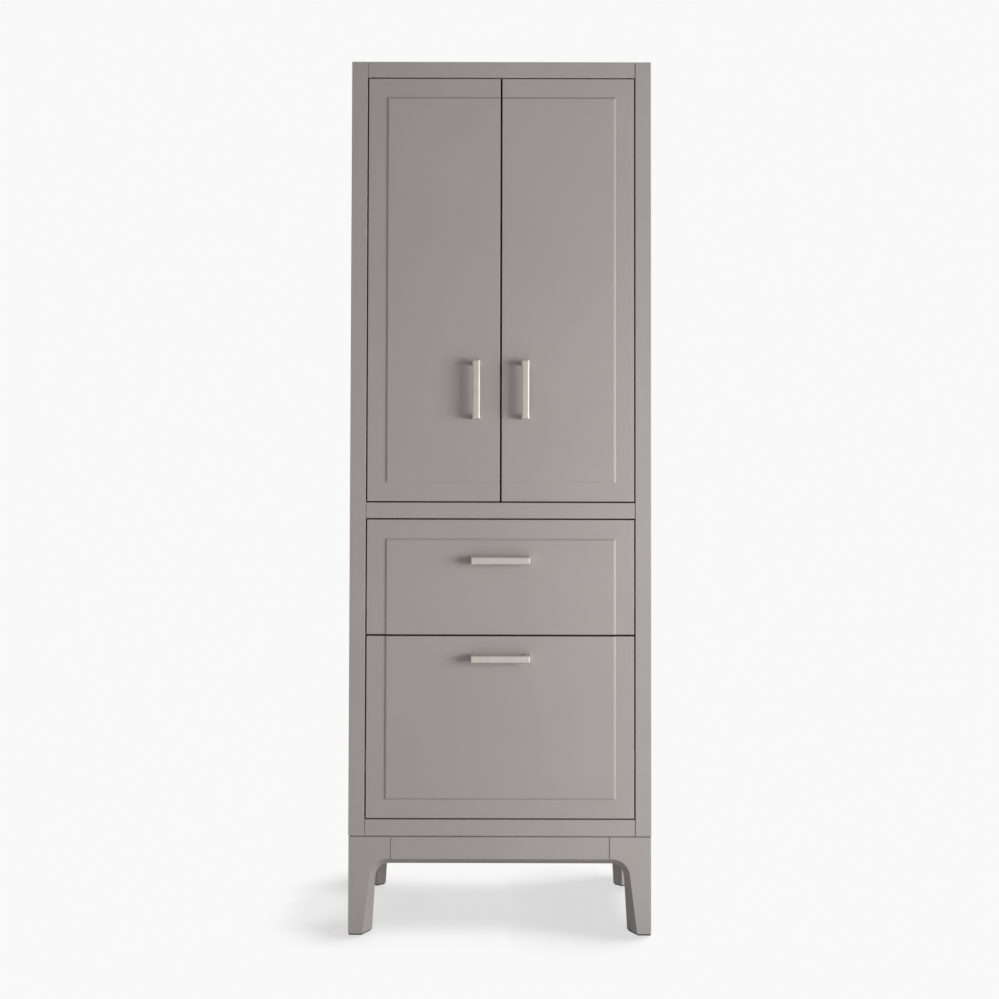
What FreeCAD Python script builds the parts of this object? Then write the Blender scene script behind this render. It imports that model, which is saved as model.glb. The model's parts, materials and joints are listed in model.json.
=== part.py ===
import FreeCAD, Part
import math
import os
import re

# Tall pantry cabinet: an inset face frame with two doors over two drawers on
# a bracket-foot base. X runs to the right, Y to the back, Z up. The origin is
# under the middle of the whole box, pulls included, at floor level.

DIMENSIONS = {
    # case
    "case_width": 610.0,
    "case_depth": 406.0,
    "board_thickness": 18.0,
    "back_thickness": 6.0,
    "rabbet_width": 9.0,
    # face frame
    "frame_thickness": 19.0,
    "stile_width": 32.0,
    "bottom_rail_height": 32.55,
    "middle_rail_height": 31.8,
    "top_rail_height": 32.2,
    "kerf_width": 1.3,
    "kerf_depth": 3.5,
    # inset fronts and the gaps round them
    "reveal": 2.7,
    "top_reveal": 2.6,
    "front_gap": 3.5,
    "door_gap": 3.6,
    "door_height": 862.15,
    "upper_front_height": 231.4,
    "lower_front_height": 365.5,
    "field_margin": 36.9,
    "field_top_margin": 37.8,
    "field_bevel": 4.0,
    "field_height": 3.2,
    "edge_round": 1.0,
    "joint_round": 0.6,
    # base
    "base_height": 198.2,
    "base_inset": 0.6,
    "shadow_height": 2.4,
    "shadow_depth": 5.0,
    "foot_thickness": 33.0,
    "flank_thickness": 28.0,
    "foot_width": 83.5,
    "foot_toe": 28.0,
    "flank_toe": 36.0,
    "foot_taper": 0.125,
    "arch_height": 152.0,
    "arch_radius": 36.0,
    "inner_toe": 45.4,
    "inner_taper": 0.058,
    "inner_arch_height": 135.4,
    "inner_arch_radius": 28.0,
    "glide_height": 3.0,
    "glide_inset": 1.2,
    "nail_setback": 16.8,
    "nail_radius": 2.0,
    "nail_length": 14.0,
    # pulls
    "pull_length": 117.6,
    "pull_width": 16.0,
    "pull_bar": 8.5,
    "pull_projection": 30.8,
    "pull_round": 3.7,
    "pull_end_round": 1.6,
    "door_pull_offset": 49.5,
    "door_pull_height": 224.5,
    "upper_pull_height": 150.1,
    "lower_pull_height": 322.4,
    "pull_screw_radius": 2.0,
    "pull_screw_grip": 7.0,
    "pull_screw_clearance": 0.25,
    "pull_thread_clearance": 0.05,
    "screw_head_radius": 4.0,
    "screw_head_height": 2.4,
    "recess_length": 4.4,
    "recess_width": 1.0,
    "recess_depth": 1.3,
    # door pivots and catches
    "pivot_inset": 9.0,
    "pivot_setback": 6.5,
    "pivot_radius": 2.5,
    "pivot_clearance": 0.05,
    "pivot_grip": 7.0,
    "pivot_plate_length": 30.0,
    "pivot_plate_width": 10.0,
    "pivot_plate_thickness": 2.0,
    "bush_radius": 4.4,
    "bush_length": 8.0,
    "bush_hole_clearance": 0.05,
    "catch_offset": 42.0,
    "catch_width": 40.0,
    "catch_depth": 14.0,
    "catch_overlap": 14.0,
    "catch_air": 0.4,
    "strike_thickness": 1.2,
    "strike_width": 34.0,
    "strike_height": 12.0,
    # shelves
    "shelf_setback": 14.0,
    "shelf_clearance": 1.0,
    "pin_radius": 2.5,
    "pin_length": 18.0,
    "pin_hole_depth": 10.0,
    "pin_hole_clearance": 0.05,
    "pin_front_setback": 50.0,
    "pin_rear_setback": 62.0,
    "pin_first_height": 129.0,
    "pin_pitch": 50.0,
    # drawer boxes and their slides
    "drawer_side": 12.0,
    "drawer_bottom": 6.0,
    "bottom_lift": 8.0,
    "groove_depth": 5.0,
    "drawer_depth": 356.0,
    "box_lift": 12.0,
    "upper_box_height": 180.0,
    "lower_box_height": 300.0,
    "upper_slide_lift": 62.0,
    "lower_slide_lift": 100.0,
    "slide_setback": 2.0,
    "slide_length": 350.0,
    "slide_thickness": 12.7,
    "slide_height": 45.0,
    "slide_sheet": 1.2,
    "slide_race": 1.5,
    "outer_flange": 9.0,
    "middle_web": 3.5,
    "middle_flange": 7.2,
    "inner_flange": 6.7,
    "spacer_height": 62.0,
    # back panel screws
    "back_screw_radius": 1.5,
    "back_screw_head": 3.5,
    "back_screw_sink": 2.2,
    "back_screw_length": 18.0,
    "back_screw_margin": 45.0,
}

PIN_ROWS = 11
SHELF_ROWS = {"lower_shelf": 3, "upper_shelf": 9}
SIDE_BACK_SCREWS = 6
TOP_BACK_SCREWS = 3
SIDES = {"left": -1, "right": 1}
ENDS = {"front": -1, "rear": 1}

# Places worked out from the sheet, as expressions.
SIDE = "(case_width / 2)"
INSIDE = "(case_width / 2 - board_thickness)"
OPENING = "(case_width / 2 - stile_width)"
FRONT = "((field_height + pull_projection - case_depth) / 2)"
FRAME_BACK = f"({FRONT} + frame_thickness)"
REAR = f"({FRONT} + case_depth)"
BACK_FACE = f"({REAR} - back_thickness)"
LOWER_FRONT_Z = "(base_height + bottom_rail_height + reveal)"
UPPER_FRONT_Z = f"({LOWER_FRONT_Z} + lower_front_height + front_gap)"
MIDDLE_RAIL_Z = f"({UPPER_FRONT_Z} + upper_front_height + reveal)"
DECK_TOP = f"({MIDDLE_RAIL_Z} + middle_rail_height)"
DOOR_Z = f"({DECK_TOP} + reveal)"
DOOR_TOP = f"({DOOR_Z} + door_height)"
TOP_RAIL_Z = f"({DOOR_TOP} + top_reveal)"
CASE_TOP = f"({TOP_RAIL_Z} + top_rail_height)"
CASE_HEIGHT = f"({CASE_TOP} - base_height)"
CASE_BOTTOM_TOP = "(base_height + bottom_rail_height)"
BASE_SIDE = "(case_width / 2 - base_inset)"
BASE_FRONT = f"({FRONT} + base_inset)"
BASE_REAR = f"({REAR} - base_inset)"
FOOT_HEIGHT = "(base_height - glide_height)"
PIVOT_X = f"({OPENING} - reveal - pivot_inset)"
PIVOT_Y = f"({FRONT} + pivot_setback)"
DRAWER_SIDE_X = f"({OPENING} - slide_thickness)"

ROTATION = {
    "x": FreeCAD.Rotation(FreeCAD.Vector(0, 1, 0), 90),
    "-x": FreeCAD.Rotation(FreeCAD.Vector(0, 1, 0), -90),
    "y": FreeCAD.Rotation(FreeCAD.Vector(1, 0, 0), -90),
    "-y": FreeCAD.Rotation(FreeCAD.Vector(1, 0, 0), 90),
    "z": FreeCAD.Rotation(),
}

doc = FreeCAD.newDocument("pantry_cabinet")
sheet = doc.addObject("Spreadsheet::Sheet", "dims")
sub_parts = []


def fill_sheet():
    for row, (alias, size) in enumerate(DIMENSIONS.items(), 1):
        sheet.set(f"A{row}", alias.replace("_", " "))
        sheet.set(f"B{row}", str(size))
        sheet.setAlias(f"B{row}", alias)
    doc.recompute()


def value(alias):
    return float(sheet.get(alias))


def expression(text):
    """Turn the aliases in a formula into references to the sheet."""
    return re.sub(r"[a-z]\w*", lambda word: f"dims.{word.group(0)}", text)


def bind(obj, **formulas):
    for prop, text in formulas.items():
        obj.setExpression(prop, expression(text))


def place(obj, corner, rotation=None):
    if rotation is not None:
        obj.Placement = FreeCAD.Placement(FreeCAD.Vector(), rotation)
    for axis, text in zip("xyz", corner):
        obj.setExpression(f"Placement.Base.{axis}", expression(text))


def block(name, size, corner):
    box = doc.addObject("Part::Box", name)
    bind(box, Length=size[0], Width=size[1], Height=size[2])
    place(box, corner)
    return box


def cylinder(name, radius, height, centre, direction):
    rod = doc.addObject("Part::Cylinder", name)
    bind(rod, Radius=radius, Height=height)
    place(rod, centre, ROTATION[direction])
    return rod


def fuse(name, shapes):
    whole = doc.addObject("Part::MultiFuse", name)
    whole.Shapes = shapes
    whole.Refine = True
    return whole


def group(name, members):
    bundle = doc.addObject("Part::Compound", name)
    bundle.Links = members
    return bundle


def cut(name, base, tools):
    result = doc.addObject("Part::Cut", name)
    result.Base = base
    result.Tool = tools[0] if len(tools) == 1 else group(name + "_tools", tools)
    return result


def fillet(name, base, picks):
    """Round the edges that each test picks from its bounding box."""
    doc.recompute()
    edges = []
    for alias, wanted in picks:
        radius = value(alias)
        for index, edge in enumerate(base.Shape.Edges, 1):
            if wanted(edge.BoundBox):
                edges.append((index, radius, radius))
    smooth = doc.addObject("Part::Fillet", name)
    smooth.Base = base
    smooth.Edges = edges
    return smooth


def sub_part(obj, label):
    obj.Label = label
    sub_parts.append(obj)
    return obj


def touches(low, high, plane):
    return abs(low - plane) < 0.01 and abs(high - plane) < 0.01


def front_edges(base):
    """A test for the edges that lie in the foremost plane of a shape."""
    doc.recompute()
    plane = base.Shape.BoundBox.YMin
    return lambda box: touches(box.YMin, box.YMax, plane)


def mirrored_x(side, near, length):
    """The low corner, in X, of a piece that starts at near and goes inwards."""
    return f"-{near}" if side < 0 else f"{near} - {length}"


def end_kerfs(label, size, corner, along, outward):
    """Narrow slots in a board's outer face where its two ends meet their neighbours."""
    across = 1 - along
    kerfs = []
    for number in (1, 2):
        kerf_size = ["", "", f"{size[2]} + 2"]
        kerf_size[along] = "kerf_width"
        kerf_size[across] = "kerf_depth"
        low = [corner[0], corner[1], f"{corner[2]} - 1"]
        if number == 2:
            low[along] = f"{corner[along]} + {size[along]} - kerf_width"
        if outward > 0:
            low[across] = f"{corner[across]} + {size[across]} - kerf_depth"
        kerfs.append(block(f"{label}_kerf_{number}", kerf_size, low))
    return kerfs


def cross_recess(name, x, face, z):
    """The driver's cross in a screw head that looks to the rear."""
    low_y = f"{face} - recess_depth"
    slots = []
    for slot_name, length, height in (("level", "recess_length", "recess_width"),
                                      ("upright", "recess_width", "recess_length")):
        slots.append(block(f"{name}_{slot_name}_slot", (length, "recess_depth", height),
                           (f"{x} - {length} / 2", low_y, f"{z} - {height} / 2")))
    return fuse(name + "_cross", slots)


# ---------------------------------------------------------------- face frame

def stile(side_name):
    side = SIDES[side_name]
    label = f"{side_name}_stile"
    low = mirrored_x(side, SIDE, "stile_width")
    board = block(label + "_board", ("stile_width", "frame_thickness", CASE_HEIGHT),
                  (low, FRONT, "base_height"))
    sub_part(fillet(label, board, [("edge_round", front_edges(board))]), label)


def rail(label, height, low, holes):
    size = (f"2 * {OPENING}", "frame_thickness", height)
    corner = (f"-{OPENING}", FRONT, low)
    board = block(label + "_board", size, corner)
    smooth = fillet(label + "_rounded", board, [("edge_round", front_edges(board))])
    kerfs = end_kerfs(label, size, corner, 0, -1)
    sub_part(cut(label, smooth, holes + kerfs), label)


def pivot_hole(name, side, mouth, direction):
    return cylinder(name, "bush_radius + bush_hole_clearance", "bush_length",
                    (f"{side} * {PIVOT_X}", PIVOT_Y, mouth), direction)


def pivot_bush(name, side, mouth, direction):
    centre = (f"{side} * {PIVOT_X}", PIVOT_Y, mouth)
    sleeve = cylinder(name + "_sleeve", "bush_radius", "bush_length", centre, direction)
    bore = cylinder(name + "_bore", "pivot_radius + pivot_clearance", "bush_length",
                    centre, direction)
    return cut(name, sleeve, [bore])


def face_frame():
    for side_name in SIDES:
        stile(side_name)
    top_holes = []
    middle_holes = []
    bushes = []
    for side_name, side in SIDES.items():
        top_holes.append(pivot_hole(f"{side_name}_top_hole", side, TOP_RAIL_Z, "z"))
        middle_holes.append(pivot_hole(f"{side_name}_low_hole", side,
                                       f"{DECK_TOP} - bush_length", "z"))
        bushes.append(pivot_bush(f"{side_name}_top_bush", side, TOP_RAIL_Z, "z"))
        bushes.append(pivot_bush(f"{side_name}_low_bush", side,
                                 f"{DECK_TOP} - bush_length", "z"))
    rail("top_rail", "top_rail_height", TOP_RAIL_Z, top_holes)
    rail("middle_rail", "middle_rail_height", MIDDLE_RAIL_Z, middle_holes)
    rail("bottom_rail", "bottom_rail_height", "base_height", [])
    sub_part(group("pivot_bushes", bushes), "pivot_bushes")


# ---------------------------------------------------------------------- case

def pin_centre(row):
    return f"({DECK_TOP} + pin_first_height + {row} * pin_pitch)"


PIN_COLUMNS = {
    "front": f"({FRAME_BACK} + pin_front_setback)",
    "rear": f"({REAR} - pin_rear_setback)",
}


def back_screw(name, x, z):
    """A countersunk screw driven forwards, flush with the back panel, and its seat."""
    shank = cylinder(name + "_shank", "back_screw_radius", "back_screw_length",
                     (x, REAR, z), "-y")
    head = doc.addObject("Part::Cone", name + "_head")
    bind(head, Radius1="back_screw_head", Radius2="back_screw_radius",
         Height="back_screw_sink")
    place(head, (x, REAR, z), ROTATION["-y"])
    seat = fuse(name + "_seat", [shank, head])
    return seat, cut(name, seat, [cross_recess(name, x, REAR, z)])


def back_screws():
    """The screws and the seats they need in the boards, in pairs."""
    screws = []
    column = f"({SIDE} - board_thickness + rabbet_width / 2)"
    span = f"({CASE_HEIGHT} - 2 * back_screw_margin)"
    for side_name, side in SIDES.items():
        for row in range(SIDE_BACK_SCREWS):
            z = f"base_height + back_screw_margin + {row} / {SIDE_BACK_SCREWS - 1} * {span}"
            screws.append(back_screw(f"{side_name}_back_screw_{row + 1}",
                                     f"{side} * {column}", z))
    for column_number in range(TOP_BACK_SCREWS):
        offset = column_number - (TOP_BACK_SCREWS - 1) / 2
        screws.append(back_screw(f"top_back_screw_{column_number + 1}",
                                 f"{offset} * {INSIDE} * 2 / {TOP_BACK_SCREWS}",
                                 f"{CASE_TOP} - board_thickness / 2"))
    return screws


def side_panel(side_name, back_board, seats):
    side = SIDES[side_name]
    label = f"{side_name}_side_panel"
    low = mirrored_x(side, SIDE, "board_thickness")
    board = block(label + "_board",
                  ("board_thickness", "case_depth - frame_thickness", CASE_HEIGHT),
                  (low, FRAME_BACK, "base_height"))
    holes = []
    for column_name, column in PIN_COLUMNS.items():
        for row in range(PIN_ROWS):
            holes.append(cylinder(f"{side_name}_{column_name}_pin_hole_{row + 1}",
                                  "pin_radius + pin_hole_clearance", "pin_hole_depth",
                                  (f"{side} * {INSIDE}", column, pin_centre(row)),
                                  "x" if side > 0 else "-x"))
    own_seats = [seat for seat in seats if seat.Name.startswith(side_name)]
    sub_part(cut(label, board, [back_board] + holes + own_seats), label)


def inner_board(label, low, seats=()):
    """A full-depth board between the side panels."""
    board = block(label + "_board",
                  (f"2 * {INSIDE}", "case_depth - frame_thickness - back_thickness",
                   "board_thickness"),
                  (f"-{INSIDE}", FRAME_BACK, low))
    sub_part(cut(label, board, list(seats)) if seats else board, label)


def shelf(label, row):
    board = block(label + "_board",
                  (f"2 * ({INSIDE} - shelf_clearance)",
                   "case_depth - frame_thickness - shelf_setback - back_thickness"
                   " - shelf_clearance",
                   "board_thickness"),
                  (f"-({INSIDE} - shelf_clearance)", f"{FRAME_BACK} + shelf_setback",
                   f"{pin_centre(row)} + pin_radius"))
    sub_part(fillet(label, board, [("edge_round", front_edges(board))]), label)


def shelf_pins():
    pins = []
    for shelf_name, row in SHELF_ROWS.items():
        for side_name, side in SIDES.items():
            for column_name, column in PIN_COLUMNS.items():
                start = f"{side} * ({INSIDE} + pin_hole_depth)"
                pins.append(cylinder(f"{shelf_name}_{side_name}_{column_name}_pin",
                                     "pin_radius", "pin_length",
                                     (start, column, pin_centre(row)),
                                     "-x" if side > 0 else "x"))
    sub_part(group("shelf_pins", pins), "shelf_pins")


def magnetic_catches():
    catches = []
    height = f"({CASE_TOP} - board_thickness - {DOOR_TOP} + catch_overlap)"
    for side_name, side in SIDES.items():
        catches.append(block(f"{side_name}_catch", ("catch_width", "catch_depth", height),
                             (f"{side} * catch_offset - catch_width / 2",
                              f"{FRAME_BACK} + strike_thickness + catch_air",
                              f"{DOOR_TOP} - catch_overlap")))
    sub_part(group("magnetic_catches", catches), "magnetic_catches")


def case():
    seats, screws = zip(*back_screws())
    back_board = block("back_board",
                       (f"2 * ({INSIDE} + rabbet_width)", "back_thickness", CASE_HEIGHT),
                       (f"-({INSIDE} + rabbet_width)", BACK_FACE, "base_height"))
    sub_part(cut("back_panel", back_board, list(seats)), "back_panel")
    sub_part(group("back_panel_screws", list(screws)), "back_panel_screws")
    for side_name in SIDES:
        side_panel(side_name, back_board, seats)
    top_seats = [seat for seat in seats if seat.Name.startswith("top")]
    inner_board("top_panel", f"{CASE_TOP} - board_thickness", top_seats)
    inner_board("middle_deck", f"{DECK_TOP} - board_thickness")
    inner_board("bottom_panel", f"{CASE_BOTTOM_TOP} - board_thickness")
    for shelf_name, row in SHELF_ROWS.items():
        shelf(shelf_name, row)
    shelf_pins()
    magnetic_catches()


# ---------------------------------------------------------------------- base

def arch_wire(half_span, depth, toe, taper, top, radius):
    """The outline of the arch between two feet, in the plane at depth."""
    floor_z = value("glide_height")
    lean = math.hypot(1, taper)
    centre_z = top - radius
    toe_x = half_span - toe
    centre_x = toe_x - taper * (centre_z - floor_z) - radius * lean
    low_z = -floor_z
    low_x = toe_x + taper * (floor_z - low_z)
    rise = math.atan(taper)

    def on_arc(side, angle):
        return FreeCAD.Vector(side * (centre_x + radius * math.cos(angle)), depth,
                              centre_z + radius * math.sin(angle))

    def low_point(side):
        return FreeCAD.Vector(side * low_x, depth, low_z)

    def haunch(side):
        return Part.Arc(on_arc(side, rise), on_arc(side, (rise + math.pi / 2) / 2),
                        on_arc(side, math.pi / 2))

    outline = [
        Part.LineSegment(low_point(-1), on_arc(-1, rise)),
        haunch(-1),
        Part.LineSegment(on_arc(-1, math.pi / 2), on_arc(1, math.pi / 2)),
        haunch(1),
        Part.LineSegment(on_arc(1, rise), low_point(1)),
        Part.LineSegment(low_point(1), low_point(-1)),
    ]
    edges = [curve.toShape() for curve in outline]
    return Part.Wire(Part.__sortEdges__(edges))


def arch_cutter(name, half_span, toe, thickness, centre, turn):
    """The splayed opening under one side of the base: it narrows inwards."""
    overrun = 1.0
    outer = {"toe": value(toe), "taper": value("foot_taper"),
             "top": value("arch_height"), "radius": value("arch_radius")}
    change = {"toe": value("inner_toe") - value("foot_toe"),
              "taper": value("inner_taper") - value("foot_taper"),
              "top": value("inner_arch_height") - value("arch_height"),
              "radius": value("inner_arch_radius") - value("arch_radius")}

    def section(depth):
        share = depth / value("foot_thickness")
        return arch_wire(half_span, depth,
                         **{key: outer[key] + share * change[key] for key in outer})

    cutter = doc.addObject("Part::Feature", name)
    cutter.Shape = Part.makeLoft([section(-overrun), section(value(thickness) + overrun)],
                                 True, True)
    place(cutter, centre, FreeCAD.Rotation(FreeCAD.Vector(0, 0, 1), turn))
    return cutter


def arch_cutters():
    half_width = value("case_width") / 2 - value("base_inset")
    half_depth = value("case_depth") / 2 - value("base_inset")
    middle = f"({BASE_FRONT} + {BASE_REAR}) / 2"
    across = (half_width, "foot_toe", "foot_thickness")
    along = (half_depth, "flank_toe", "flank_thickness")
    return {
        "front": arch_cutter("front_arch", *across, ("0", BASE_FRONT, "0"), 0),
        "rear": arch_cutter("rear_arch", *across, ("0", BASE_REAR, "0"), 180),
        "left": arch_cutter("left_arch", *along, (f"-{BASE_SIDE}", middle, "0"), -90),
        "right": arch_cutter("right_arch", *along, (BASE_SIDE, middle, "0"), 90),
    }


def base_groove():
    """The ring cut from the top of the base, which parts it from the case by a dark line."""
    depth = "(case_depth - 2 * base_inset)"
    outer = block("groove_outer",
                  (f"2 * {BASE_SIDE} + 2", f"{depth} + 2", "shadow_height + 1"),
                  (f"-{BASE_SIDE} - 1", f"{BASE_FRONT} - 1", "base_height - shadow_height"))
    inner = block("groove_inner",
                  (f"2 * ({BASE_SIDE} - shadow_depth)", f"{depth} - 2 * shadow_depth",
                   "shadow_height + 1"),
                  (f"-({BASE_SIDE} - shadow_depth)", f"{BASE_FRONT} + shadow_depth",
                   "base_height - shadow_height"))
    return cut("base_groove", outer, [inner])


def corner_place(end, side, length, width):
    """The low corner of a block set into one outer corner of the base."""
    x = mirrored_x(side, BASE_SIDE, length)
    y = BASE_FRONT if end < 0 else f"{BASE_REAR} - {width}"
    return x, y


def from_corner(end, side, inwards, along):
    """A point measured in from one outer corner of the base, as expressions."""
    x = f"{side} * ({BASE_SIDE} - {inwards})"
    y = f"{BASE_FRONT} + {along}" if end < 0 else f"{BASE_REAR} - {along}"
    return x, y


def glide_pad(name, end, side):
    """A nylon pad of the shape of the foot's sole, a little smaller all round."""
    inset = value("glide_inset")
    inner = value("inner_toe")
    face = value("foot_thickness")
    flank = value("flank_thickness")
    sole = [(inset, inset), (value("foot_toe") - inset, inset), (inner - 2 * inset, face),
            (flank, face + inner - flank - 2 * inset), (inset, value("flank_toe") - inset)]
    outline = [FreeCAD.Vector(-side * x, -end * y, 0) for x, y in sole]
    pad = doc.addObject("Part::Feature", name)
    pad.Shape = Part.Face(Part.makePolygon(outline + outline[:1])).extrude(
        FreeCAD.Vector(0, 0, value("glide_height")))
    place(pad, (*from_corner(end, side, "0", "0"), "0"))
    return pad


def glide(name, end, side):
    centre = (*from_corner(end, side, "nail_setback", "nail_setback"), "glide_height")
    nail = cylinder(name + "_nail", "nail_radius", "nail_length", centre, "z")
    return nail, fuse(name, [glide_pad(name + "_pad", end, side), nail])


def corner_fill(label, end, side):
    """The upright wedge across the inner corner of a foot, at 45 degrees."""
    leg = "inner_toe - flank_thickness"
    fill = doc.addObject("Part::Wedge", label + "_fill")
    bind(fill, Xmin="0", Xmax=leg, Ymin="0", Ymax=leg, X2min="0", X2max="0",
         Zmin="0", Zmax=FOOT_HEIGHT, Z2min="0", Z2max=FOOT_HEIGHT)
    turns = {(-1, -1): 0, (-1, 1): 90, (1, 1): 180, (1, -1): 270}
    place(fill, (*from_corner(end, side, "flank_thickness", "foot_thickness"), "glide_height"),
          FreeCAD.Rotation(FreeCAD.Vector(0, 0, 1), turns[(end, side)]))
    return fill


def foot(end_name, side_name, cutters, groove):
    end = ENDS[end_name]
    side = SIDES[side_name]
    label = f"{end_name}_{side_name}_foot"
    solids = [corner_fill(label, end, side)]
    for wall_name, length, width in (("face", "foot_width", "foot_thickness"),
                                     ("flank", "flank_thickness", "foot_width")):
        x, y = corner_place(end, side, length, width)
        solids.append(block(f"{label}_{wall_name}", (length, width, FOOT_HEIGHT),
                            (x, y, "glide_height")))
    body = cut(label + "_grooved", fuse(label + "_walls", solids), [groove])
    doc.recompute()
    bounds = body.Shape.BoundBox
    outer_x = bounds.XMin if side < 0 else bounds.XMax
    outer_y = bounds.YMin if end < 0 else bounds.YMax

    def on_face(box):
        return touches(box.YMin, box.YMax, outer_y) or touches(box.XMin, box.XMax, outer_x)

    def above_floor(box):
        return box.ZMax > bounds.ZMin + 1

    smooth = fillet(label + "_rounded", body,
                    [("joint_round", lambda box: on_face(box) and above_floor(box))])
    nail, whole_glide = glide(f"{end_name}_{side_name}_glide", end, side)
    sub_part(cut(label, smooth, [cutters[end_name], cutters[side_name], nail]), label)
    return whole_glide


def outer_plane(axis, side):
    """A test for the edges in a board's outer face along one axis."""
    def test_for(base):
        doc.recompute()
        bounds = base.Shape.BoundBox
        plane = getattr(bounds, axis + ("Min" if side < 0 else "Max"))
        return lambda box: touches(getattr(box, axis + "Min"), getattr(box, axis + "Max"),
                                   plane)
    return test_for


def apron(label, cutter, groove, size, corner, along, outward):
    board = cut(label + "_board", block(label + "_blank", size, corner), [groove])
    outer_face = outer_plane("YX"[along], outward)
    smooth = fillet(label + "_rounded", board, [("joint_round", outer_face(board))])
    kerfs = end_kerfs(label, size, corner, along, outward)
    sub_part(cut(label, smooth, [cutter] + kerfs), label)


def aprons(cutters, groove):
    low = "(inner_arch_height - 5)"
    height = f"base_height - {low}"
    for end_name, end in ENDS.items():
        y = BASE_FRONT if end < 0 else f"{BASE_REAR} - foot_thickness"
        apron(f"{end_name}_apron", cutters[end_name], groove,
              (f"2 * ({BASE_SIDE} - foot_width)", "foot_thickness", height),
              (f"-({BASE_SIDE} - foot_width)", y, low), 0, end)
    for side_name, side in SIDES.items():
        x = mirrored_x(side, BASE_SIDE, "flank_thickness")
        apron(f"{side_name}_apron", cutters[side_name], groove,
              ("flank_thickness", "case_depth - 2 * base_inset - 2 * foot_width", height),
              (x, f"{BASE_FRONT} + foot_width", low), 1, side)


def base():
    cutters = arch_cutters()
    groove = base_groove()
    glides = []
    for end_name in ENDS:
        for side_name in SIDES:
            glides.append(foot(end_name, side_name, cutters, groove))
    aprons(cutters, groove)
    sub_part(group("foot_glides", glides), "foot_glides")


# --------------------------------------------------------------------- pulls

def pull_layout(vertical, x, z):
    """Sizes and screw places of a bar pull centred at x, z."""
    half = "(pull_length / 2)"
    reach = "(pull_length / 2 - pull_bar / 2)"
    if vertical:
        size = ("pull_width", "pull_length")
        post = ("pull_width", "pull_bar")
        corner = (f"{x} - pull_width / 2", f"{z} - {half}")
        posts = [corner, (corner[0], f"{z} + {half} - pull_bar")]
        screws = [(x, f"{z} - {reach}"), (x, f"{z} + {reach}")]
    else:
        size = ("pull_length", "pull_width")
        post = ("pull_bar", "pull_width")
        corner = (f"{x} - {half}", f"{z} - pull_width / 2")
        posts = [corner, (f"{x} + {half} - pull_bar", corner[1])]
        screws = [(f"{x} - {reach}", z), (f"{x} + {reach}", z)]
    return size, post, corner, posts, screws


def pull(label, vertical, x, z):
    size, post, corner, posts, screws = pull_layout(vertical, x, z)
    face = f"({FRONT} - field_height)"
    pieces = [block(label + "_bar", (size[0], "pull_bar", size[1]),
                    (corner[0], f"{face} - pull_projection", corner[1]))]
    for number, (post_x, post_z) in enumerate(posts, 1):
        pieces.append(block(f"{label}_post_{number}", (post[0], "pull_projection", post[1]),
                            (post_x, f"{face} - pull_projection", post_z)))
    raw = fuse(label + "_raw", pieces)
    at_front = front_edges(raw)

    def long_edge(box):
        return at_front(box) and max(box.XLength, box.ZLength) > 0.9 * value("pull_length")

    def end_edge(box):
        return at_front(box) and not long_edge(box)

    smooth = fillet(label + "_smooth", raw, [("pull_round", long_edge),
                                             ("pull_end_round", end_edge)])
    threads = []
    for number, (screw_x, screw_z) in enumerate(screws, 1):
        threads.append(cylinder(f"{label}_thread_{number}",
                                "pull_screw_radius + pull_thread_clearance",
                                "pull_screw_grip + 1", (screw_x, face, screw_z), "-y"))
    sub_part(cut(label, smooth, threads), label)


def pull_screws(label, vertical, x, z, head_face):
    """Two screws from head_face forwards through the front into the posts."""
    screws = pull_layout(vertical, x, z)[4]
    face = f"({FRONT} - field_height)"
    pieces = []
    for number, (screw_x, screw_z) in enumerate(screws, 1):
        shank = cylinder(f"{label}_shank_{number}", "pull_screw_radius",
                         f"{head_face} - {face} + pull_screw_grip",
                         (screw_x, head_face, screw_z), "-y")
        head = cylinder(f"{label}_head_{number}", "screw_head_radius", "screw_head_height",
                        (screw_x, head_face, screw_z), "y")
        name = f"{label}_{number}"
        solid = fuse(name + "_solid", [shank, head])
        head_top = f"({head_face} + screw_head_height)"
        pieces.append(cut(name, solid, [cross_recess(name, screw_x, head_top, screw_z)]))
    sub_part(group(label, pieces), label)


def pull_holes(name, vertical, x, z, depth_to):
    """Clearance holes for the pull screws, from the field back to depth_to."""
    screws = pull_layout(vertical, x, z)[4]
    face = f"({FRONT} - field_height)"
    return [cylinder(f"{name}_{number}", "pull_screw_radius + pull_screw_clearance",
                     f"{depth_to} - {face}", (screw_x, face, screw_z), "y")
            for number, (screw_x, screw_z) in enumerate(screws, 1)]


# -------------------------------------------------------------- raised fronts

def raised_front(name, corner, width, height, plain_side):
    """An inset front with a raised field that runs out at plain_side."""
    x, z = corner
    slab = block(name + "_slab", (width, "frame_thickness", height), (x, FRONT, z))
    low = {}
    high = {}
    margins = dict.fromkeys(("left", "right", "bottom"), "field_margin")
    margins["top"] = "field_top_margin"
    for side_name, margin in margins.items():
        plain = side_name == plain_side
        low[side_name] = "0" if plain else margin
        high[side_name] = "0" if plain else f"({margin} + field_bevel)"
    field = doc.addObject("Part::Wedge", name + "_field")
    bind(field, Ymin="-field_height", Ymax="0",
         Xmin=high["left"], Xmax=f"{width} - {high['right']}",
         Zmin=high["bottom"], Zmax=f"{height} - {high['top']}",
         X2min=low["left"], X2max=f"{width} - {low['right']}",
         Z2min=low["bottom"], Z2max=f"{height} - {low['top']}")
    place(field, (x, FRONT, z))
    raw = fuse(name + "_raw", [slab, field])
    doc.recompute()
    back = raw.Shape.BoundBox.YMax
    return fillet(name + "_rounded", raw,
                  [("edge_round", lambda box: box.YMax < back - 0.01)])


# --------------------------------------------------------------------- doors

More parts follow.
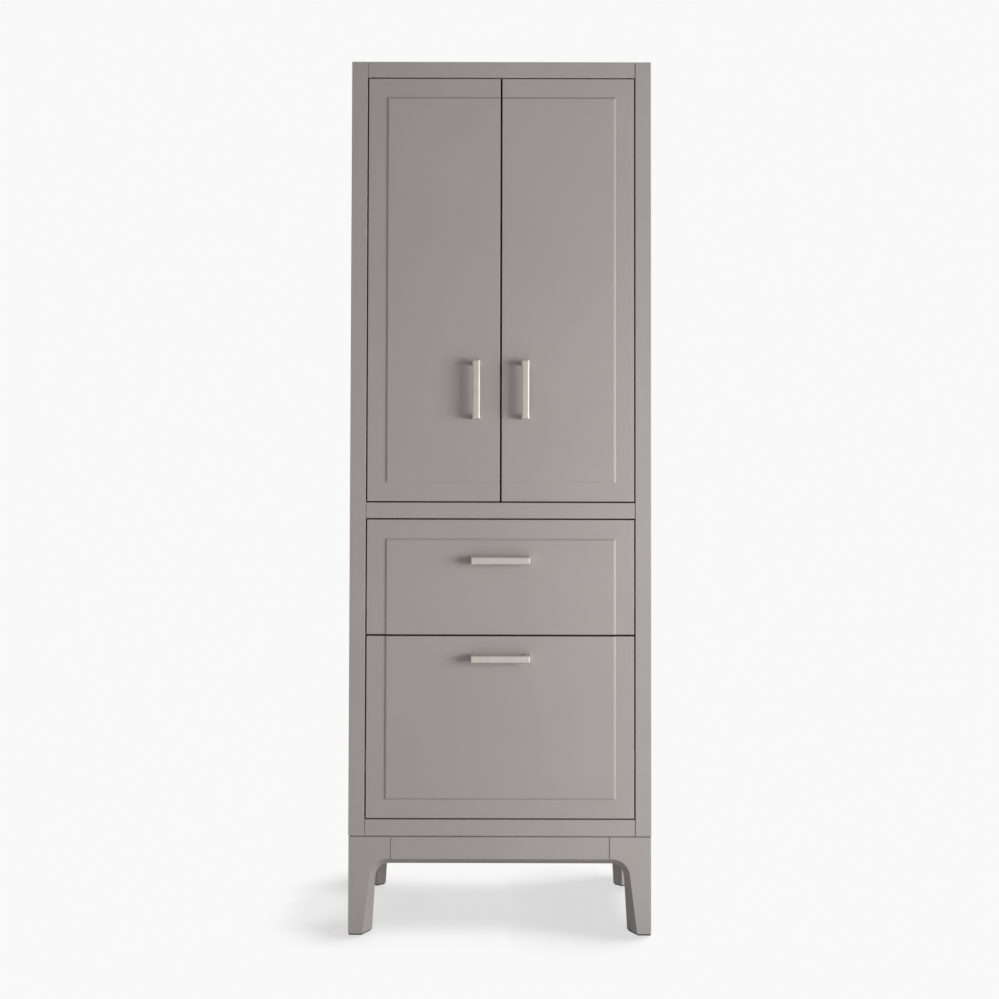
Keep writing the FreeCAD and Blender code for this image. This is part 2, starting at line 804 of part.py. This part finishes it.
def door(side_name):
    side = SIDES[side_name]
    body = f"{side_name}_door"
    width = f"({OPENING} - reveal - door_gap / 2)"
    x = f"-({OPENING} - reveal)" if side < 0 else "door_gap / 2"
    plain_side = "right" if side < 0 else "left"
    panel = raised_front(body, (x, DOOR_Z), width, "door_height", plain_side)

    pull_at = (f"{side} * door_pull_offset", f"({DOOR_Z} + door_pull_height)")
    holes = pull_holes(body + "_pull_hole", True, *pull_at, FRAME_BACK)
    pull(body + "_pull", True, *pull_at)
    pull_screws(body + "_pull_screws", True, *pull_at, FRAME_BACK)

    plates = []
    pivots = []
    ends = {
        "top": (f"{DOOR_TOP} - pivot_plate_thickness", DOOR_TOP, "z", "top_reveal"),
        "bottom": (DOOR_Z, DOOR_Z, "-z", "reveal"),
    }
    plate_near = f"({OPENING} - reveal - 2)"
    plate_x = mirrored_x(side, plate_near, "pivot_plate_length")
    for end_name, (plate_z, face_z, direction, gap) in ends.items():
        plate = block(f"{body}_{end_name}_plate",
                      ("pivot_plate_length", "pivot_plate_width", "pivot_plate_thickness"),
                      (plate_x, f"{PIVOT_Y} - pivot_plate_width / 2", plate_z))
        start = face_z if direction == "z" else f"{face_z} - {gap} - pivot_grip"
        pin = cylinder(f"{body}_{end_name}_pin", "pivot_radius", f"{gap} + pivot_grip",
                       (f"{side} * {PIVOT_X}", PIVOT_Y, start), "z")
        plates.append(plate)
        pivots.append(fuse(f"{body}_{end_name}_pivot", [plate, pin]))
    sub_part(group(body + "_pivots", pivots), body + "_pivots")
    sub_part(cut(body + "_panel", panel, holes + plates), body + "_panel")

    strike = block(body + "_strike_plate",
                   ("strike_width", "strike_thickness", "strike_height"),
                   (f"{side} * catch_offset - strike_width / 2", FRAME_BACK,
                    f"{DOOR_TOP} - strike_height - 1"))
    sub_part(strike, body + "_strike_plate")


# ------------------------------------------------------------------- drawers

def drawer_box(body, low):
    """Sides, inner front and back with a bottom let into grooves all round."""
    height = f"{body.split('_')[0]}_box_height"
    inner = f"({DRAWER_SIDE_X} - drawer_side)"
    bottom = block(body + "_bottom_board",
                   (f"2 * ({inner} + groove_depth)",
                    "drawer_depth - 2 * drawer_side + 2 * groove_depth", "drawer_bottom"),
                   (f"-({inner} + groove_depth)",
                    f"{FRAME_BACK} + drawer_side - groove_depth", f"{low} + bottom_lift"))
    sub_part(bottom, body + "_bottom")
    for side_name, side in SIDES.items():
        x = mirrored_x(side, DRAWER_SIDE_X, "drawer_side")
        board = block(f"{body}_{side_name}_board", ("drawer_side", "drawer_depth", height),
                      (x, FRAME_BACK, low))
        label = f"{body}_{side_name}_side"
        sub_part(cut(label, board, [bottom]), label)
    ends = {
        "inner_front": FRAME_BACK,
        "back": f"{FRAME_BACK} + drawer_depth - drawer_side",
    }
    for end_name, y in ends.items():
        board = block(f"{body}_{end_name}_board", (f"2 * {inner}", "drawer_side", height),
                      (f"-{inner}", y, low))
        tools = [bottom]
        if end_name == "inner_front":
            tools += pull_holes(f"{body}_inner_hole", False, "0",
                                drawer_pull_z(body), f"{FRAME_BACK} + drawer_side")
        label = f"{body}_{end_name}"
        sub_part(cut(label, board, tools), label)


def drawer_pull_z(body):
    if body == "upper_drawer":
        return f"({UPPER_FRONT_Z} + upper_pull_height)"
    return f"({LOWER_FRONT_Z} + lower_pull_height)"


def channel(name, side, z, web, flange, half_height, towards_drawer):
    """A sheet-metal channel: web is its distance from the spacer's face."""
    outer = f"({flange})"
    if towards_drawer:
        near = web
        hollow = f"({web} + slide_sheet)"
    else:
        near = f"({web} + slide_sheet - {flange})"
        hollow = near
    x = mirrored_x(side, f"({OPENING} - {near})", outer)
    hollow_x = mirrored_x(side, f"({OPENING} - {hollow})", f"({outer} - slide_sheet)")
    y = f"{FRAME_BACK} + slide_setback"
    solid = block(name + "_solid", (outer, "slide_length", f"2 * {half_height}"),
                  (x, y, f"{z} - {half_height}"))
    inside = f"({half_height} - slide_sheet)"
    space = block(name + "_space", (f"{outer} - slide_sheet", "slide_length", f"2 * {inside}"),
                  (hollow_x, y, f"{z} - {inside}"))
    return cut(name, solid, [space])


def slides(body, z):
    """The fixed, middle and moving channels of one drawer's two slides."""
    step = "(slide_sheet + slide_race)"
    outer = []
    middle = []
    inner = []
    for side_name, side in SIDES.items():
        name = f"{body}_{side_name}"
        outer.append(channel(name + "_outer", side, z, "0", "outer_flange",
                             "(slide_height / 2)", True))
        middle.append(channel(name + "_middle", side, z, "middle_web", "middle_flange",
                              f"(slide_height / 2 - {step})", True))
        inner.append(channel(name + "_inner", side, z, "(slide_thickness - slide_sheet)",
                             "inner_flange", f"(slide_height / 2 - 2 * {step})", False))
    stage = body.replace("drawer", "slide")
    sub_part(group(stage + "_middle_members", middle), stage + "_middle_members")
    sub_part(group(stage + "_drawer_members", inner), stage + "_drawer_members")
    return outer


def drawer(body, low, height, slide_lift, plain_side):
    panel = raised_front(body, (f"-({OPENING} - reveal)", low),
                         f"(2 * ({OPENING} - reveal))", height, plain_side)
    pull_z = drawer_pull_z(body)
    holes = pull_holes(body + "_pull_hole", False, "0", pull_z, FRAME_BACK)
    sub_part(cut(body + "_front", panel, holes), body + "_front")
    pull(body + "_pull", False, "0", pull_z)
    pull_screws(body + "_pull_screws", False, "0", pull_z, f"({FRAME_BACK} + drawer_side)")
    box_low = f"({low} + box_lift)"
    drawer_box(body, box_low)
    slide_z = f"({box_low} + {slide_lift})"
    spacers = []
    for side_name, side in SIDES.items():
        x = mirrored_x(side, INSIDE, f"({INSIDE} - {OPENING})")
        spacers.append(block(f"{body}_{side_name}_spacer",
                             (f"{INSIDE} - {OPENING}", "slide_length + slide_setback",
                              "spacer_height"),
                             (x, FRAME_BACK, f"{slide_z} - spacer_height / 2")))
    return slides(body, slide_z), spacers


def drawers():
    upper_outer, upper_spacers = drawer("upper_drawer", UPPER_FRONT_Z, "upper_front_height",
                                        "upper_slide_lift", "bottom")
    lower_outer, lower_spacers = drawer("lower_drawer", LOWER_FRONT_Z, "lower_front_height",
                                        "lower_slide_lift", "top")
    sub_part(group("slide_cabinet_members", upper_outer + lower_outer),
             "slide_cabinet_members")
    sub_part(group("slide_spacers", upper_spacers + lower_spacers), "slide_spacers")


# --------------------------------------------------------------------- write

def check_all():
    for obj in doc.Objects:
        if {"Invalid", "Error"} & set(obj.State):
            raise RuntimeError(f"{obj.Label} failed: {obj.State}")
    for obj in sub_parts:
        if obj.Shape.isNull() or not obj.Shape.isValid():
            raise RuntimeError(f"{obj.Label} has no valid shape")


def write_all():
    os.makedirs("parts", exist_ok=True)
    for obj in sub_parts:
        obj.Shape.exportStep(f"parts/{obj.Label}.step")
        print(obj.Label, len(obj.Shape.Solids), round(obj.Shape.Volume / 1000, 1))


fill_sheet()
face_frame()
case()
base()
for door_side in SIDES:
    door(door_side)
drawers()
doc.recompute()
check_all()
write_all()
print(len(sub_parts), "sub-parts")
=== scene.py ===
import json
import math

import bpy
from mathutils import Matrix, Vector


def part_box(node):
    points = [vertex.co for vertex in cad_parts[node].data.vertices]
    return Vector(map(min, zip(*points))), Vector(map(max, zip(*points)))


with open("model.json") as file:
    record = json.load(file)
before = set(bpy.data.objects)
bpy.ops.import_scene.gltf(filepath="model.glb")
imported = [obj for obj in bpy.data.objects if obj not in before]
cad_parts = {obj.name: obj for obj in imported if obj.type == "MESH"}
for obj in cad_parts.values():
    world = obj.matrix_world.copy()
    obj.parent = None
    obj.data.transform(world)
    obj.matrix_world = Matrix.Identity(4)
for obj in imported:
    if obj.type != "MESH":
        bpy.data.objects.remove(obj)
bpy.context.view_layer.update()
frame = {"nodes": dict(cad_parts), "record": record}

# Lengths are in metres. Places come from the frame: the case's front plane and its top.
FRONT_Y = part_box("top_rail")[0].y
CASE_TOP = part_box("top_rail")[1].z
WHITE = (1.0, 1.0, 1.0, 1.0)


# -------------------------------------------------------------- shader nodes

def set_inputs(node, **settings):
    """Give a node's sockets fixed values, by name with _ for each space."""
    for name, setting in settings.items():
        node.inputs[name.replace("_", " ")].default_value = setting


def add(tree, kind, **settings):
    """A new node, with its sockets set by name."""
    node = tree.nodes.new(kind)
    set_inputs(node, **settings)
    return node


def node_material(name):
    """A new material, its node tree and its Principled shader."""
    material = bpy.data.materials.new(name)
    material.use_nodes = True
    return material, material.node_tree, material.node_tree.nodes["Principled BSDF"]


# ---------------------------------------------------------------- the camera

# The camera stands in front of the case and looks straight at it. It is pitched a little up, and the
# lens is shifted down to match. The roll takes up most of the lean of the uprights.
CAMERA_DISTANCE = 2.81
CAMERA_HEIGHT = 0.8748
CAMERA_SIDE = -0.0022
CAMERA_PITCH = math.radians(1.57)
CAMERA_ROLL = math.radians(-0.135)
CAMERA_REACH = 100.0
LENS_MM = 50.0
SENSOR_MM = 36.0


def camera():
    """The lens in front of the case that the main picture is taken with."""
    data = bpy.data.cameras.new("camera")
    data.lens = LENS_MM
    data.sensor_width = SENSOR_MM
    data.shift_y = -math.tan(CAMERA_PITCH) * LENS_MM / SENSOR_MM
    data.clip_end = CAMERA_REACH
    obj = bpy.data.objects.new("camera", data)
    obj.location = (CAMERA_SIDE, FRONT_Y - CAMERA_DISTANCE, CAMERA_HEIGHT)
    obj.rotation_euler = (math.pi / 2 + CAMERA_PITCH, CAMERA_ROLL, 0.0)
    bpy.context.scene.collection.objects.link(obj)
    bpy.context.scene.camera = obj


# ---------------------------------------------------------------- the studio

# The room: a round floor that bends up into a wall with a ceiling, all of one even white.
STUDIO_WHITE = 0.947
TURN_STEPS = 96
FLOOR_RADIUS = 4.5
FLOOR_RINGS = 4
WALL_BEND = 1.5
BEND_STEPS = 12
WALL_TOP = 8.0
CEILING_HOLE = 0.01
SIDE_STEPS = (18, 78)

# The painted shadow on the floor: how far it reaches, how open a place is where the shadow is full and
# where it ends, its tone, and how far the open side leans towards the key light.
CONTACT_REACH = 0.26
CONTACT_OPEN = (0.72, 0.90)
PAINTED_SHADOW_TONE = 0.725 * STUDIO_WHITE
CONTACT_LEAN = math.radians(46.0)
CONTACT_SAMPLES = 48

# The floor that light meets lies just under the one that the camera sees.
FLOOR_ALBEDO = 0.80
FLOOR_ROUGHNESS = 0.9
SHEEN_DROP = 0.001
SHEEN_RADIUS = 0.45
BOUNCE_DROP = 0.002

# Azimuths are counted from the front (-Y) towards the right.
KEY_AZIMUTH = math.radians(53.0)
KEY_DISTANCE = 2.7
KEY_HEIGHT = 0.80
KEY_SIZE = (1.5, 1.0)
KEY_WATTS = 70.0
BACK_AZIMUTH = math.radians(205.0)
BACK_DISTANCE = KEY_DISTANCE * 1.2
BACK_SIZE = (1.6, 1.6)
BACK_WATTS = 30.0
ROOM_STRENGTH = 0.355


def turned_surface(name, profile, material, kept=(0, TURN_STEPS), filled=False):
    """A surface of revolution about the Z axis from (radius, height) points, facing inwards.

    Steps are counted from the front (-Y) towards the right; only the kept ones get faces. A filled
    surface is closed by one face inside its first ring.
    """
    verts = []
    for radius, height in profile:
        for step in range(TURN_STEPS):
            turn = 2 * math.pi * step / TURN_STEPS
            verts.append((radius * math.sin(turn), -radius * math.cos(turn), height))
    faces = []
    for ring in range(len(profile) - 1):
        for step in range(*kept):
            following = (step + 1) % TURN_STEPS
            inner = ring * TURN_STEPS
            outer = inner + TURN_STEPS
            faces.append((inner + following, inner + step, outer + step, outer + following))
    if filled:
        faces.append(tuple(range(TURN_STEPS)))
    mesh = bpy.data.meshes.new(name)
    mesh.from_pydata(verts, [], faces)
    mesh.shade_smooth()
    mesh.materials.append(material)
    obj = bpy.data.objects.new(name, mesh)
    bpy.context.scene.collection.objects.link(obj)
    return obj


def white_surface(name):
    """The studio's even white, its node tree and the emission shader, whose strength may be shaded."""
    material = bpy.data.materials.new(name)
    material.use_nodes = True
    tree = material.node_tree
    tree.nodes.clear()
    glow = add(tree, "ShaderNodeEmission", Strength=STUDIO_WHITE, Color=WHITE)
    output = tree.nodes.new("ShaderNodeOutputMaterial")
    tree.links.new(glow.outputs["Emission"], output.inputs["Surface"])
    return material, tree, glow


def met_by(obj, *rays):
    """Let an object meet these kinds of ray only."""
    for ray in ("camera", "diffuse", "glossy", "transmission", "shadow"):
        setattr(obj, "visible_" + ray, ray in rays)


def disc(name, height, material):
    """A level disc as wide as the floor."""
    rings = [(FLOOR_RADIUS * ring / FLOOR_RINGS, height) for ring in range(1, FLOOR_RINGS + 1)]
    return turned_surface(name, rings, material, filled=True)


def floor():
    """The floor that the camera sees: white, with a painted shadow, darker where something close
    covers its open side.
    """
    material, tree, glow = white_surface("studio_floor")
    # Painted shadow: the floor's glow is dimmed by ambient occlusion that leans towards the key light.
    near = add(tree, "ShaderNodeAmbientOcclusion", Distance=CONTACT_REACH)
    near.samples = CONTACT_SAMPLES
    upwards = add(tree, "ShaderNodeCombineXYZ", X=math.sin(CONTACT_LEAN), Z=math.cos(CONTACT_LEAN))
    tree.links.new(upwards.outputs["Vector"], near.inputs["Normal"])
    shade = add(tree, "ShaderNodeMapRange", From_Min=CONTACT_OPEN[0], From_Max=CONTACT_OPEN[1],
                To_Min=PAINTED_SHADOW_TONE, To_Max=STUDIO_WHITE)
    tree.links.new(near.outputs["AO"], shade.inputs["Value"])
    tree.links.new(shade.outputs["Result"], glow.inputs["Strength"])
    met_by(disc("studio_floor", 0.0, material), "camera")


def bounce_floor():
    """The floor that light meets: matt, with a bright ring round the cabinet for mirrors only."""
    material, _, shader = node_material("studio_bounce")
    set_inputs(shader, Base_Color=(FLOOR_ALBEDO, FLOOR_ALBEDO, FLOOR_ALBEDO, 1.0),
               Roughness=FLOOR_ROUGHNESS, Specular_IOR_Level=0.0)
    met_by(disc("studio_bounce", -BOUNCE_DROP, material), "diffuse", "glossy")
    ring = [(SHEEN_RADIUS, -SHEEN_DROP), (FLOOR_RADIUS, -SHEEN_DROP)]
    met_by(turned_surface("studio_sheen", ring, white_surface("studio_sheen")[0]), "glossy")


def wall():
    """The white wall round the floor, mirrored at the sides and behind but not in front."""
    profile = []
    for step in range(BEND_STEPS + 1):
        turn = math.pi / 2 * step / BEND_STEPS
        profile.append((FLOOR_RADIUS + WALL_BEND * math.sin(turn), WALL_BEND * (1 - math.cos(turn))))
    profile.append((FLOOR_RADIUS + WALL_BEND, WALL_TOP))
    ceiling = [(CEILING_HOLE, WALL_TOP)]
    material = white_surface("studio_wall")[0]
    met_by(turned_surface("studio_wall", profile + ceiling, material), "camera")
    met_by(turned_surface("studio_sides", profile, material, kept=SIDE_STEPS), "glossy")


def area_light(name, azimuth, distance, height, size, watts):
    """A rectangular softbox at an azimuth about the cabinet's front, aimed at it."""
    target = Vector((0.0, FRONT_Y, height))
    place = target + Vector((math.sin(azimuth), -math.cos(azimuth), 0.0)) * distance
    data = bpy.data.lights.new(name, "AREA")
    data.shape = "RECTANGLE"
    data.size, data.size_y = size
    data.energy = watts
    obj = bpy.data.objects.new(name, data)
    obj.location = place
    obj.rotation_euler = (target - place).to_track_quat("-Z", "Y").to_euler()
    obj.visible_camera = False
    bpy.context.scene.collection.objects.link(obj)


def lights():
    """A soft key from the front right, a weak light from behind and a dim white room."""
    area_light("key", KEY_AZIMUTH, KEY_DISTANCE, KEY_HEIGHT, KEY_SIZE, KEY_WATTS)
    area_light("back_fill", BACK_AZIMUTH, BACK_DISTANCE, CASE_TOP, BACK_SIZE, BACK_WATTS)
    world = bpy.data.worlds.new("room")
    world.use_nodes = True
    set_inputs(world.node_tree.nodes["Background"], Color=WHITE, Strength=ROOM_STRENGTH)
    bpy.context.scene.world = world


# ------------------------------------------------------- parts of a material

def stretched(along, fine, coarse):
    """Texture scales that draw a pattern out along one axis."""
    return tuple(coarse if axis == along else fine for axis in "xyz")


def object_space(tree, scale=(1.0, 1.0, 1.0)):
    """Coordinates in metres that stay with the piece when it moves."""
    place = tree.nodes.new("ShaderNodeTexCoord")
    mapping = add(tree, "ShaderNodeMapping", Scale=scale)
    tree.links.new(place.outputs["Object"], mapping.inputs["Vector"])
    return mapping.outputs["Vector"]


def noise(tree, vector, scale, detail=3.0, roughness=0.5, distortion=0.0):
    """The factor of a noise texture."""
    node = add(tree, "ShaderNodeTexNoise", Scale=scale, Detail=detail,
               Roughness=roughness, Distortion=distortion)
    tree.links.new(vector, node.inputs["Vector"])
    return node.outputs["Fac"]


def ramp(tree, factor, stops):
    """A colour ramp: stops are (position, colour)."""
    node = tree.nodes.new("ShaderNodeValToRGB")
    for index, (position, colour) in enumerate(stops):
        if index < 2:
            element = node.color_ramp.elements[index]
            element.position = position
        else:
            element = node.color_ramp.elements.new(position)
        element.color = (*colour, 1.0)
    tree.links.new(factor, node.inputs["Fac"])
    return node.outputs["Color"]


def span(tree, factor, low, high):
    """Spread the middle of a noise over low to high."""
    node = add(tree, "ShaderNodeMapRange", From_Min=0.3, From_Max=0.7, To_Min=low, To_Max=high)
    tree.links.new(factor, node.inputs["Value"])
    return node.outputs["Result"]


def bump(tree, height, distance, strength):
    """A normal that follows a height, whose full range is a distance in metres."""
    node = add(tree, "ShaderNodeBump", Strength=strength, Distance=distance)
    tree.links.new(height, node.inputs["Height"])
    return node.outputs["Normal"]


def mix_colours(tree, first, second, mode):
    """A node that mixes two colours. Its factor is left to the caller."""
    node = tree.nodes.new("ShaderNodeMix")
    node.data_type = "RGBA"
    node.blend_type = mode
    tree.links.new(first, node.inputs["A"])
    tree.links.new(second, node.inputs["B"])
    return node


def tint(colour, share):
    """The same colour, lighter or darker by a share."""
    return tuple(channel * share for channel in colour)


# ------------------------------------------------------------- the materials

PAINT = (0.338, 0.308, 0.297)
BIRCH = (0.66, 0.49, 0.32)
HARDBOARD = (0.235, 0.135, 0.070)
NICKEL = (0.575, 0.535, 0.492)
ZINC = (0.60, 0.62, 0.63)
OXIDE = (0.030, 0.030, 0.032)
BRASS = (0.72, 0.53, 0.25)
CATCH_GREY = (0.55, 0.54, 0.51)
NYLON = (0.030, 0.029, 0.028)
PORE_SHADES = ((0.62, 0.55, 0.48), (1.0, 1.0, 1.0))
PORE_STRENGTH = 0.75
PAINT_EDGE = 0.0005


def paint_colour(tree, space):
    """The grey of the paint, a little uneven."""
    drift = noise(tree, space, scale=3.0, detail=2.0)
    return ramp(tree, drift, [(0.3, tint(PAINT, 0.97)), (0.7, tint(PAINT, 1.03))])


def sprayed_finish(tree, space, shader):
    """Satin gloss that drifts a little, with faint orange peel."""
    gloss = noise(tree, space, scale=60.0, detail=4.0)
    tree.links.new(span(tree, gloss, 0.40, 0.50), shader.inputs["Roughness"])
    peel = noise(tree, space, scale=900.0, detail=2.0)
    tree.links.new(bump(tree, peel, distance=0.00004, strength=0.6), shader.inputs["Normal"])


def grey_paint():
    """The satin grey of the case, the doors and the drawer fronts."""
    material, tree, shader = node_material("grey_paint")
    space = object_space(tree)
    tree.links.new(paint_colour(tree, space), shader.inputs["Base Color"])
    sprayed_finish(tree, space, shader)
    set_inputs(shader, Specular_IOR_Level=0.45)
    return material


def back_board():
    """Hardboard, painted grey on the side that faces the shelves."""
    material, tree, shader = node_material("back_board")
    space = object_space(tree)
    fibre = noise(tree, object_space(tree, (900.0, 900.0, 900.0)), scale=1.0, detail=5.0,
                  roughness=0.65)
    flecks = ramp(tree, fibre, [(0.32, tint(HARDBOARD, 0.72)), (0.55, HARDBOARD),
                                (0.75, tint(HARDBOARD, 1.45))])
    outside = tree.nodes.new("ShaderNodeSeparateXYZ")
    tree.links.new(space, outside.inputs["Vector"])
    low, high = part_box("back_panel")
    middle = (low.y + high.y) / 2
    bare = add(tree, "ShaderNodeMapRange", From_Min=middle - PAINT_EDGE, From_Max=middle + PAINT_EDGE)
    tree.links.new(outside.outputs["Y"], bare.inputs["Value"])
    colour = mix_colours(tree, paint_colour(tree, space), flecks, "MIX")
    tree.links.new(bare.outputs["Result"], colour.inputs["Factor"])
    tree.links.new(colour.outputs["Result"], shader.inputs["Base Color"])
    tree.links.new(span(tree, fibre, 0.5, 0.7), shader.inputs["Roughness"])
    tree.links.new(bump(tree, fibre, distance=0.00008, strength=0.5), shader.inputs["Normal"])
    return material


def wood(name, along, colour, rings):
    """Clear-finished wood, its grain drawn out along one axis."""
    material, tree, shader = node_material(name)
    figure = noise(tree, object_space(tree, stretched(along, 1.0, 0.07)), scale=rings, distortion=1.2)
    broad = ramp(tree, figure, [(0.30, tint(colour, 0.80)), (0.48, colour),
                                (0.56, tint(colour, 0.90)), (0.72, tint(colour, 1.08))])
    pores = noise(tree, object_space(tree, stretched(along, 1400.0, 45.0)), scale=1.0, detail=2.0,
                  roughness=0.6)
    streaks = ramp(tree, pores, [(0.36, PORE_SHADES[0]), (0.48, PORE_SHADES[1])])
    grained = mix_colours(tree, broad, streaks, "MULTIPLY")
    set_inputs(grained, Factor=PORE_STRENGTH)
    tree.links.new(grained.outputs["Result"], shader.inputs["Base Color"])
    tree.links.new(span(tree, figure, 0.36, 0.48), shader.inputs["Roughness"])
    tree.links.new(bump(tree, pores, distance=0.00008, strength=0.4), shader.inputs["Normal"])
    return material


def satin_nickel(name, along):
    """Brushed nickel plate, its fine lines along the bar."""
    material, tree, shader = node_material(name)
    set_inputs(shader, Metallic=1.0)
    cloud = noise(tree, object_space(tree), scale=40.0)
    colour = ramp(tree, cloud, [(0.3, tint(NICKEL, 0.96)), (0.7, tint(NICKEL, 1.03))])
    tree.links.new(colour, shader.inputs["Base Color"])
    lines = noise(tree, object_space(tree, stretched(along, 5000.0, 60.0)), scale=1.0)
    tree.links.new(span(tree, lines, 0.56, 0.66), shader.inputs["Roughness"])
    tree.links.new(bump(tree, lines, distance=0.000006, strength=0.4), shader.inputs["Normal"])
    return material


def zinc_steel():
    """Zinc plate with its faint crystal pattern."""
    material, tree, shader = node_material("zinc_steel")
    set_inputs(shader, Metallic=1.0)
    crystals = add(tree, "ShaderNodeTexVoronoi", Scale=260.0)
    tree.links.new(object_space(tree), crystals.inputs["Vector"])
    grey = tree.nodes.new("ShaderNodeRGBToBW")
    tree.links.new(crystals.outputs["Color"], grey.inputs["Color"])
    colour = ramp(tree, grey.outputs["Val"], [(0.2, tint(ZINC, 0.92)), (0.8, tint(ZINC, 1.05))])
    tree.links.new(colour, shader.inputs["Base Color"])
    tree.links.new(span(tree, grey.outputs["Val"], 0.32, 0.44), shader.inputs["Roughness"])
    scratches = noise(tree, object_space(tree), scale=1500.0)
    tree.links.new(bump(tree, scratches, distance=0.00001, strength=0.4), shader.inputs["Normal"])
    return material


def black_steel():
    """Steel blackened in a bath: a thin uneven oxide with a low sheen."""
    material, tree, shader = node_material("black_steel")
    set_inputs(shader, Metallic=0.6)
    oxide = noise(tree, object_space(tree), scale=300.0, detail=4.0)
    colour = ramp(tree, oxide, [(0.3, tint(OXIDE, 0.75)), (0.7, tint(OXIDE, 1.3))])
    tree.links.new(colour, shader.inputs["Base Color"])
    tree.links.new(span(tree, oxide, 0.48, 0.62), shader.inputs["Roughness"])
    tree.links.new(bump(tree, oxide, distance=0.00002, strength=0.4), shader.inputs["Normal"])
    return material


def brass_bush():
    """Turned brass, a little dulled."""
    material, tree, shader = node_material("brass_bush")
    set_inputs(shader, Metallic=1.0)
    tarnish = noise(tree, object_space(tree), scale=220.0, detail=4.0)
    colour = ramp(tree, tarnish, [(0.3, tint(BRASS, 0.80)), (0.65, BRASS)])
    tree.links.new(colour, shader.inputs["Base Color"])
    tree.links.new(span(tree, tarnish, 0.42, 0.28), shader.inputs["Roughness"])
    return material


def moulded_plastic(name, colour, roughness):
    """Injection moulded plastic with a fine spark-eroded grain."""
    material, tree, shader = node_material(name)
    grain = noise(tree, object_space(tree), scale=2200.0, detail=2.0)
    flow = noise(tree, object_space(tree), scale=35.0)
    shades = ramp(tree, flow, [(0.3, tint(colour, 0.93)), (0.7, tint(colour, 1.05))])
    tree.links.new(shades, shader.inputs["Base Color"])
    tree.links.new(span(tree, grain, roughness - 0.05, roughness + 0.05), shader.inputs["Roughness"])
    tree.links.new(bump(tree, grain, distance=0.00004, strength=0.5), shader.inputs["Normal"])
    return material


def longest_axis(node):
    """The axis along which a node is longest: its grain or brushing runs that way."""
    low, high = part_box(node)
    size = high - low
    return "xyz"[max(range(3), key=lambda axis: size[axis])]


def assign():
    """Give every CAD node the finish of its slot in the record."""
    plain = {"grey_paint": grey_paint(), "back_board": back_board(),
             "zinc_steel": zinc_steel(), "black_steel": black_steel(), "brass_bush": brass_bush(),
             "catch_plastic": moulded_plastic("catch_plastic", CATCH_GREY, 0.40),
             "glide_plastic": moulded_plastic("glide_plastic", NYLON, 0.55)}
    directed = {"satin_nickel": {axis: satin_nickel("satin_nickel_" + axis, axis) for axis in "xz"},
                "drawer_wood": {axis: wood("drawer_wood_" + axis, axis, BIRCH, rings=26.0)
                                for axis in "xy"},
                "drawer_ply": {axis: wood("drawer_ply_" + axis, axis, tint(BIRCH, 1.04), rings=16.0)
                               for axis in "xy"}}
    for row in frame["record"]["subparts"]:
        node = row["node"]
        slot = row["material_slot"]
        if slot in directed:
            material = directed[slot][longest_axis(node)]
        else:
            material = plain[slot]
        mesh = frame["nodes"][node].data
        mesh.materials.clear()
        mesh.materials.append(material)


camera()
floor()
bounce_floor()
wall()
lights()
assign()

bpy.context.scene.view_settings.view_transform = "Standard"
